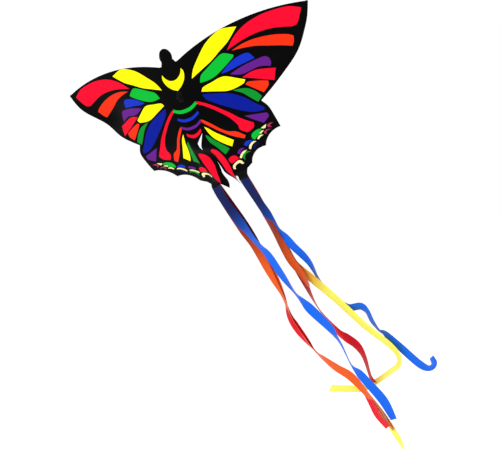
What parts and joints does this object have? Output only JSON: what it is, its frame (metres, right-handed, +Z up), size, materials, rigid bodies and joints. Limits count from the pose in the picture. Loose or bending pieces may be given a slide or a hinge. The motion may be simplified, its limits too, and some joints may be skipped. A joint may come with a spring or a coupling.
{
  "type": "delta kite",
  "caption": "Butterfly-shaped single-line delta kite: printed sail on a rod frame, tow eyelet in front, long ribbon tails from the hindwings.",
  "frame": {"origin": "centre of the tow eyelet, in front of the spine", "axes": "+X along the span and along the eyelet, +Y behind the sail, +Z up the spine to the nose"},
  "size_m": [1.39, 0.2425, 2.159],
  "materials": {
    "printed_sail": "glossy thin polyester, black with bright printed cells",
    "black_cloth": "black woven polyester tape",
    "fibreglass": "pultruded fibreglass",
    "black_vinyl": "soft moulded vinyl",
    "eyelet_metal": "nickel-plated",
    "ribbon_blue": "satin polyester",
    "ribbon_orange": "satin polyester",
    "ribbon_red": "satin polyester",
    "ribbon_yellow": "satin polyester"
  },
  "bodies": {
    "centre": {"abdomen_pocket": "black_cloth", "body_panel": "printed_sail", "head_pocket": "black_cloth", "left_tail_tab": "black_cloth", "nose_cap": "black_vinyl", "right_tail_tab": "black_cloth", "spine_clips": "black_vinyl", "spine_end_cap": "black_vinyl", "spine_rod": "fibreglass", "spine_sleeve": "black_cloth", "tow_eyelet": "eyelet_metal", "tow_patch": "black_cloth", "tow_tab": "black_cloth"},
    "left_wing": {"left_batten_arm": "black_vinyl", "left_batten_tip_cap": "black_vinyl", "left_fitting_stops": "black_vinyl", "left_hindwing_batten": "fibreglass", "left_hindwing_pocket": "black_cloth", "left_leading_edge_rod": "fibreglass", "left_leading_edge_sleeve": "black_cloth", "left_rod_root_cap": "black_vinyl", "left_rod_tip_cap": "black_vinyl", "left_spreader_arm": "black_vinyl", "left_spreader_fitting": "black_vinyl", "left_spreader_rod": "fibreglass", "left_wing_sail": "printed_sail", "left_wing_tip_pocket": "black_cloth"},
    "right_wing": {"right_batten_arm": "black_vinyl", "right_batten_tip_cap": "black_vinyl", "right_fitting_stops": "black_vinyl", "right_hindwing_batten": "fibreglass", "right_hindwing_pocket": "black_cloth", "right_leading_edge_rod": "fibreglass", "right_leading_edge_sleeve": "black_cloth", "right_rod_root_cap": "black_vinyl", "right_rod_tip_cap": "black_vinyl", "right_spreader_arm": "black_vinyl", "right_spreader_fitting": "black_vinyl", "right_spreader_rod": "fibreglass", "right_wing_sail": "printed_sail", "right_wing_tip_pocket": "black_cloth"},
    "left_tail": {"left_ribbon_blue": "ribbon_blue", "left_ribbon_orange": "ribbon_orange", "left_ribbon_red": "ribbon_red", "left_ribbon_yellow": "ribbon_yellow", "left_tail_header": "black_cloth"},
    "right_tail": {"right_ribbon_blue": "ribbon_blue", "right_ribbon_orange": "ribbon_orange", "right_ribbon_red": "ribbon_red", "right_ribbon_yellow": "ribbon_yellow", "right_tail_header": "black_cloth"}
  },
  "joints": [
    {"name": "left_wing_flex", "type": "hinge", "parent": "centre", "child": "left_wing", "pos_m": [0, 0.031, 0], "axis": [0, 0, -1], "range_deg": [-4, 28], "stiffness_Nm_per_rad": 3},
    {"name": "right_wing_flex", "type": "hinge", "parent": "centre", "child": "right_wing", "pos_m": [0, 0.031, 0], "axis": [0, 0, 1], "range_deg": [-4, 28], "stiffness_Nm_per_rad": 3},
    {"name": "left_tail_swing", "type": "hinge", "parent": "centre", "child": "left_tail", "pos_m": [-0.078, 0.182, -0.44], "axis": [1, 0, 0], "range_deg": [-20, 80]},
    {"name": "right_tail_swing", "type": "hinge", "parent": "centre", "child": "right_tail", "pos_m": [0.078, 0.182, -0.44], "axis": [1, 0, 0], "range_deg": [-20, 80]}
  ],
  "couplings": [
    {"joint": "right_tail_swing", "follows": "left_tail_swing", "ratio": 1}
  ]
}
